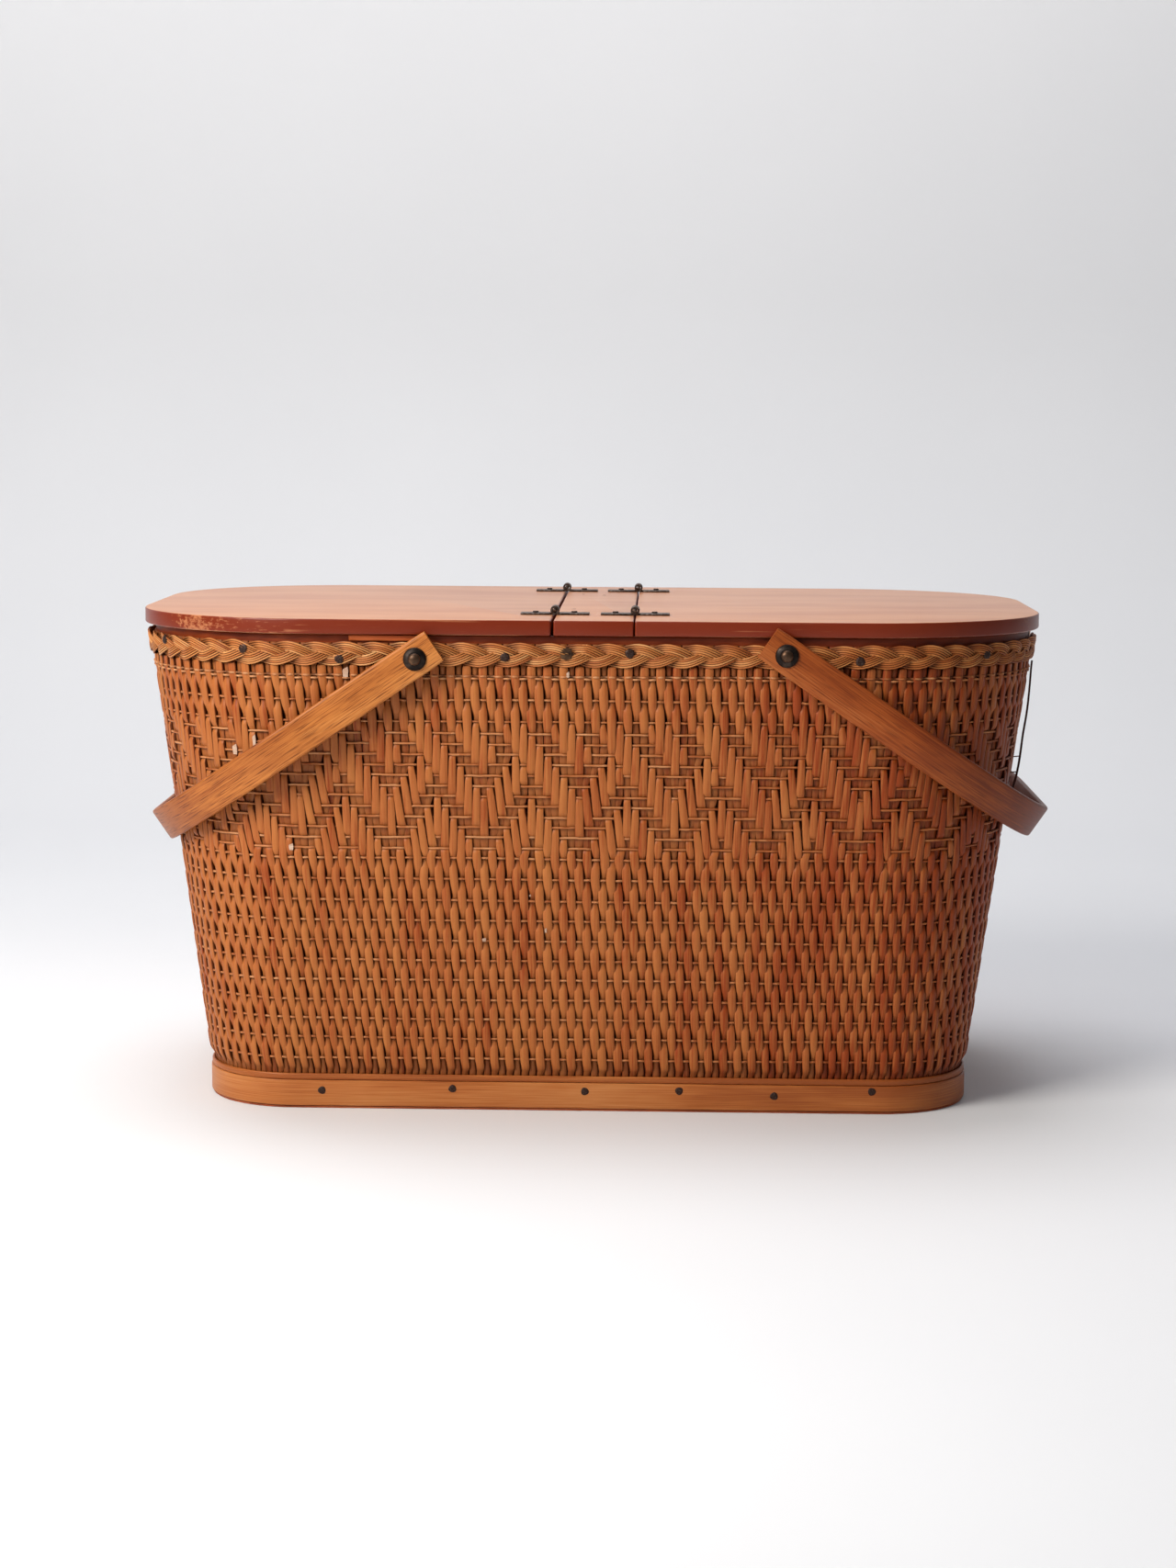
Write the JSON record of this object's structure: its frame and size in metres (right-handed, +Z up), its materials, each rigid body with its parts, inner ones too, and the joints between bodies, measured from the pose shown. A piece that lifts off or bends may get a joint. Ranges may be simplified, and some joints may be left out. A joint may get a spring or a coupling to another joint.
{
  "type": "picnic basket",
  "caption": "Oval-ended woven picnic basket with a wooden base, two hinged lid flaps on a fixed bridge and two swinging bentwood handles.",
  "frame": {"origin": "middle of the underside of the base board", "axes": "+X along the length to the right seen from the front, -Y towards the front, +Z up"},
  "size_m": [0.5144, 0.3228, 0.2802],
  "materials": {
    "lid_wood": "red-brown varnished board, satin",
    "hoop_wood": "red-brown stained bent strip",
    "board_wood": "red-brown stained board",
    "band_wood": "golden varnished bent strip",
    "weave": "caramel varnished flat splint stakes over thin round cords",
    "braid": "golden varnished plaited cord",
    "handle_wood": "honey-brown varnished bentwood",
    "rivet_metal": "darkened bronze, worn brighter on the dome",
    "hinge_steel": "blackened steel",
    "nail_steel": "rusted dark steel"
  },
  "bodies": {
    "basket": {"base_board": "board_wood", "base_band": "band_wood", "base_trim": "band_wood", "woven_wall": "weave", "rim_braid": "braid", "rim_hoop": "hoop_wood", "lid_bridge": "lid_wood", "left_handle_front_rivet": "rivet_metal", "left_handle_front_washer": "rivet_metal", "left_handle_front_burr": "rivet_metal", "left_handle_back_rivet": "rivet_metal", "left_handle_back_washer": "rivet_metal", "left_handle_back_burr": "rivet_metal", "right_handle_front_rivet": "rivet_metal", "right_handle_front_washer": "rivet_metal", "right_handle_front_burr": "rivet_metal", "right_handle_back_rivet": "rivet_metal", "right_handle_back_washer": "rivet_metal", "right_handle_back_burr": "rivet_metal", "left_front_hinge_bridge_leaf": "hinge_steel", "left_front_hinge_bridge_nail": "nail_steel", "left_front_hinge_pin": "hinge_steel", "left_back_hinge_bridge_leaf": "hinge_steel", "left_back_hinge_bridge_nail": "nail_steel", "left_back_hinge_pin": "hinge_steel", "right_front_hinge_bridge_leaf": "hinge_steel", "right_front_hinge_bridge_nail": "nail_steel", "right_front_hinge_pin": "hinge_steel", "right_back_hinge_bridge_leaf": "hinge_steel", "right_back_hinge_bridge_nail": "nail_steel", "right_back_hinge_pin": "hinge_steel", "bridge_brad_front": "nail_steel", "bridge_brad_back": "nail_steel", "rim_nail_1": "nail_steel", "rim_nail_2": "nail_steel", "rim_nail_3": "nail_steel", "rim_nail_4": "nail_steel", "rim_nail_5": "nail_steel", "rim_nail_6": "nail_steel", "rim_nail_7": "nail_steel", "rim_screw": "nail_steel", "base_nail_1": "nail_steel", "base_nail_2": "nail_steel", "base_nail_3": "nail_steel", "base_nail_4": "nail_steel", "base_nail_5": "nail_steel", "base_nail_6": "nail_steel"},
    "left_flap": {"left_lid": "lid_wood", "left_front_hinge_lid_leaf": "hinge_steel", "left_front_hinge_lid_nail": "nail_steel", "left_back_hinge_lid_leaf": "hinge_steel", "left_back_hinge_lid_nail": "nail_steel"},
    "right_flap": {"right_lid": "lid_wood", "right_front_hinge_lid_leaf": "hinge_steel", "right_front_hinge_lid_nail": "nail_steel", "right_back_hinge_lid_leaf": "hinge_steel", "right_back_hinge_lid_nail": "nail_steel"},
    "left_handle": {"left_handle": "handle_wood"},
    "right_handle": {"right_handle": "handle_wood"}
  },
  "joints": [
    {"name": "left_flap_hinge", "type": "hinge", "parent": "basket", "child": "left_flap", "pos_m": [-0.0185, 0, 0.2777], "axis": [0, 1, 0], "range_deg": [0, 60]},
    {"name": "right_flap_hinge", "type": "hinge", "parent": "basket", "child": "right_flap", "pos_m": [0.0257, 0, 0.2777], "axis": [0, -1, 0], "range_deg": [0, 54]},
    {"name": "left_handle_pivot", "type": "hinge", "parent": "basket", "child": "left_handle", "pos_m": [-0.0918, 0, 0.2543], "axis": [0, 1, 0], "range_deg": [0, 153.4]},
    {"name": "right_handle_pivot", "type": "hinge", "parent": "basket", "child": "right_handle", "pos_m": [0.1075, 0, 0.25756], "axis": [0, -1, 0], "range_deg": [-5.5, 154]}
  ]
}
